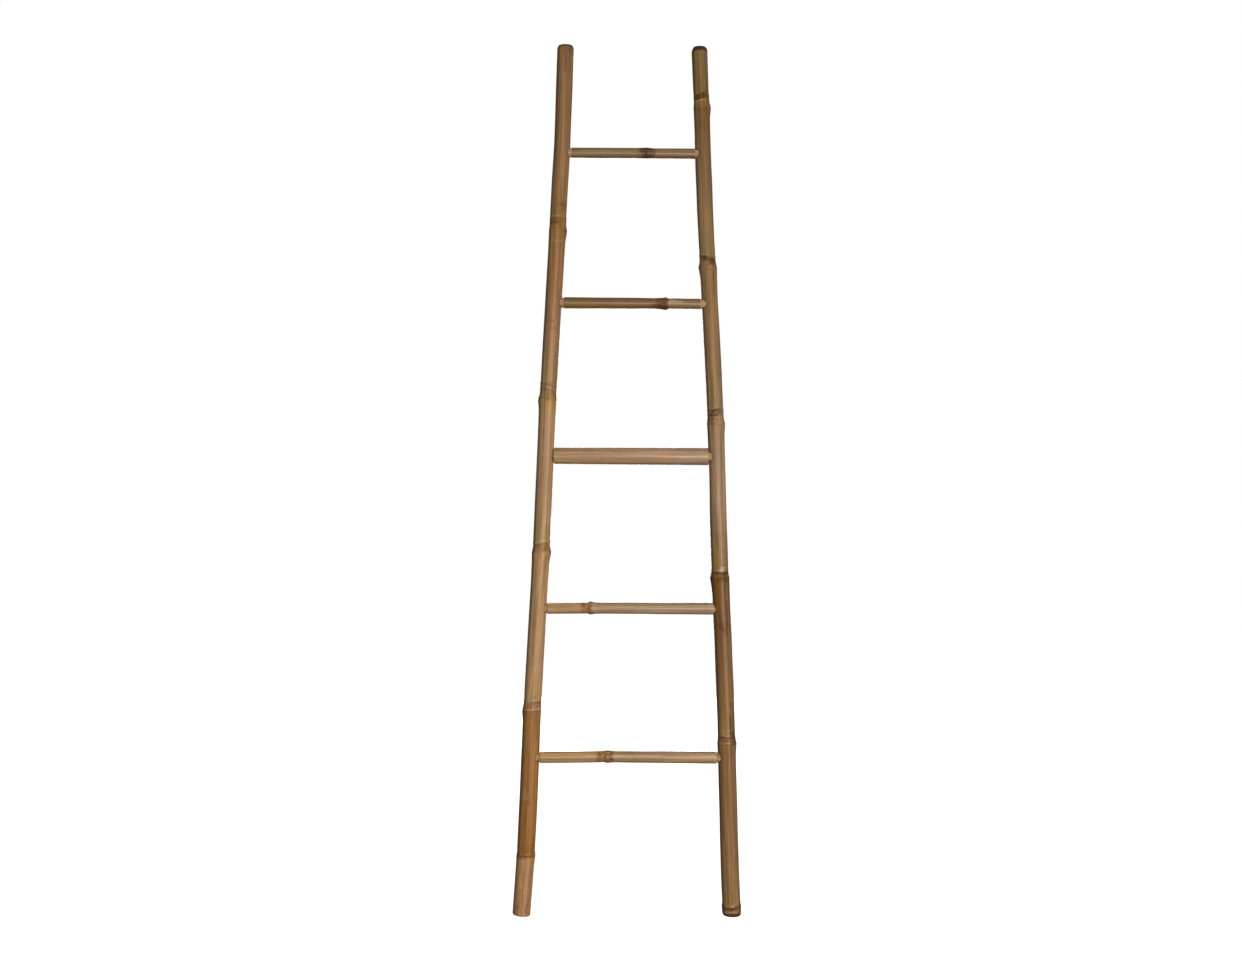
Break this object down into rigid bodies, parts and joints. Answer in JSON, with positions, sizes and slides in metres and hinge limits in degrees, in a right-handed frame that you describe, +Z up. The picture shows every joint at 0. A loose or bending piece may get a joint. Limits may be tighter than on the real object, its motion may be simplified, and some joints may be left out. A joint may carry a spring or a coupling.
{
  "type": "bamboo ladder rack",
  "caption": "Leaning bamboo ladder rack for quilts and towels, with crooked tapering rails and round rungs tenoned into them.",
  "frame": {"origin": "on the floor, in the middle of the box around the rack, which stands upright", "axes": "+Z up along the rails, +X across the rungs to the right as seen from the front, +Y to the back, where the nail heads are"},
  "size_m": [0.4998, 0.0462, 1.9],
  "materials": {
    "rail_bamboo": "varnished bamboo culm, satin to gloss, smoked tan with brown node bands",
    "rung_bamboo": "varnished bamboo culm, satin to gloss, with raw pale wood on the shaved tenons",
    "nail_steel": "bright wire nail, slightly dulled"
  },
  "bodies": {
    "root": {"left_rail": "rail_bamboo", "right_rail": "rail_bamboo", "rung_1": "rung_bamboo", "rung_2": "rung_bamboo", "rung_3": "rung_bamboo", "rung_4": "rung_bamboo", "rung_5": "rung_bamboo", "rung_1_left_nail": "nail_steel", "rung_1_right_nail": "nail_steel", "rung_2_left_nail": "nail_steel", "rung_2_right_nail": "nail_steel", "rung_3_left_nail": "nail_steel", "rung_3_right_nail": "nail_steel", "rung_4_left_nail": "nail_steel", "rung_4_right_nail": "nail_steel", "rung_5_left_nail": "nail_steel", "rung_5_right_nail": "nail_steel"}
  },
  "joints": []
}
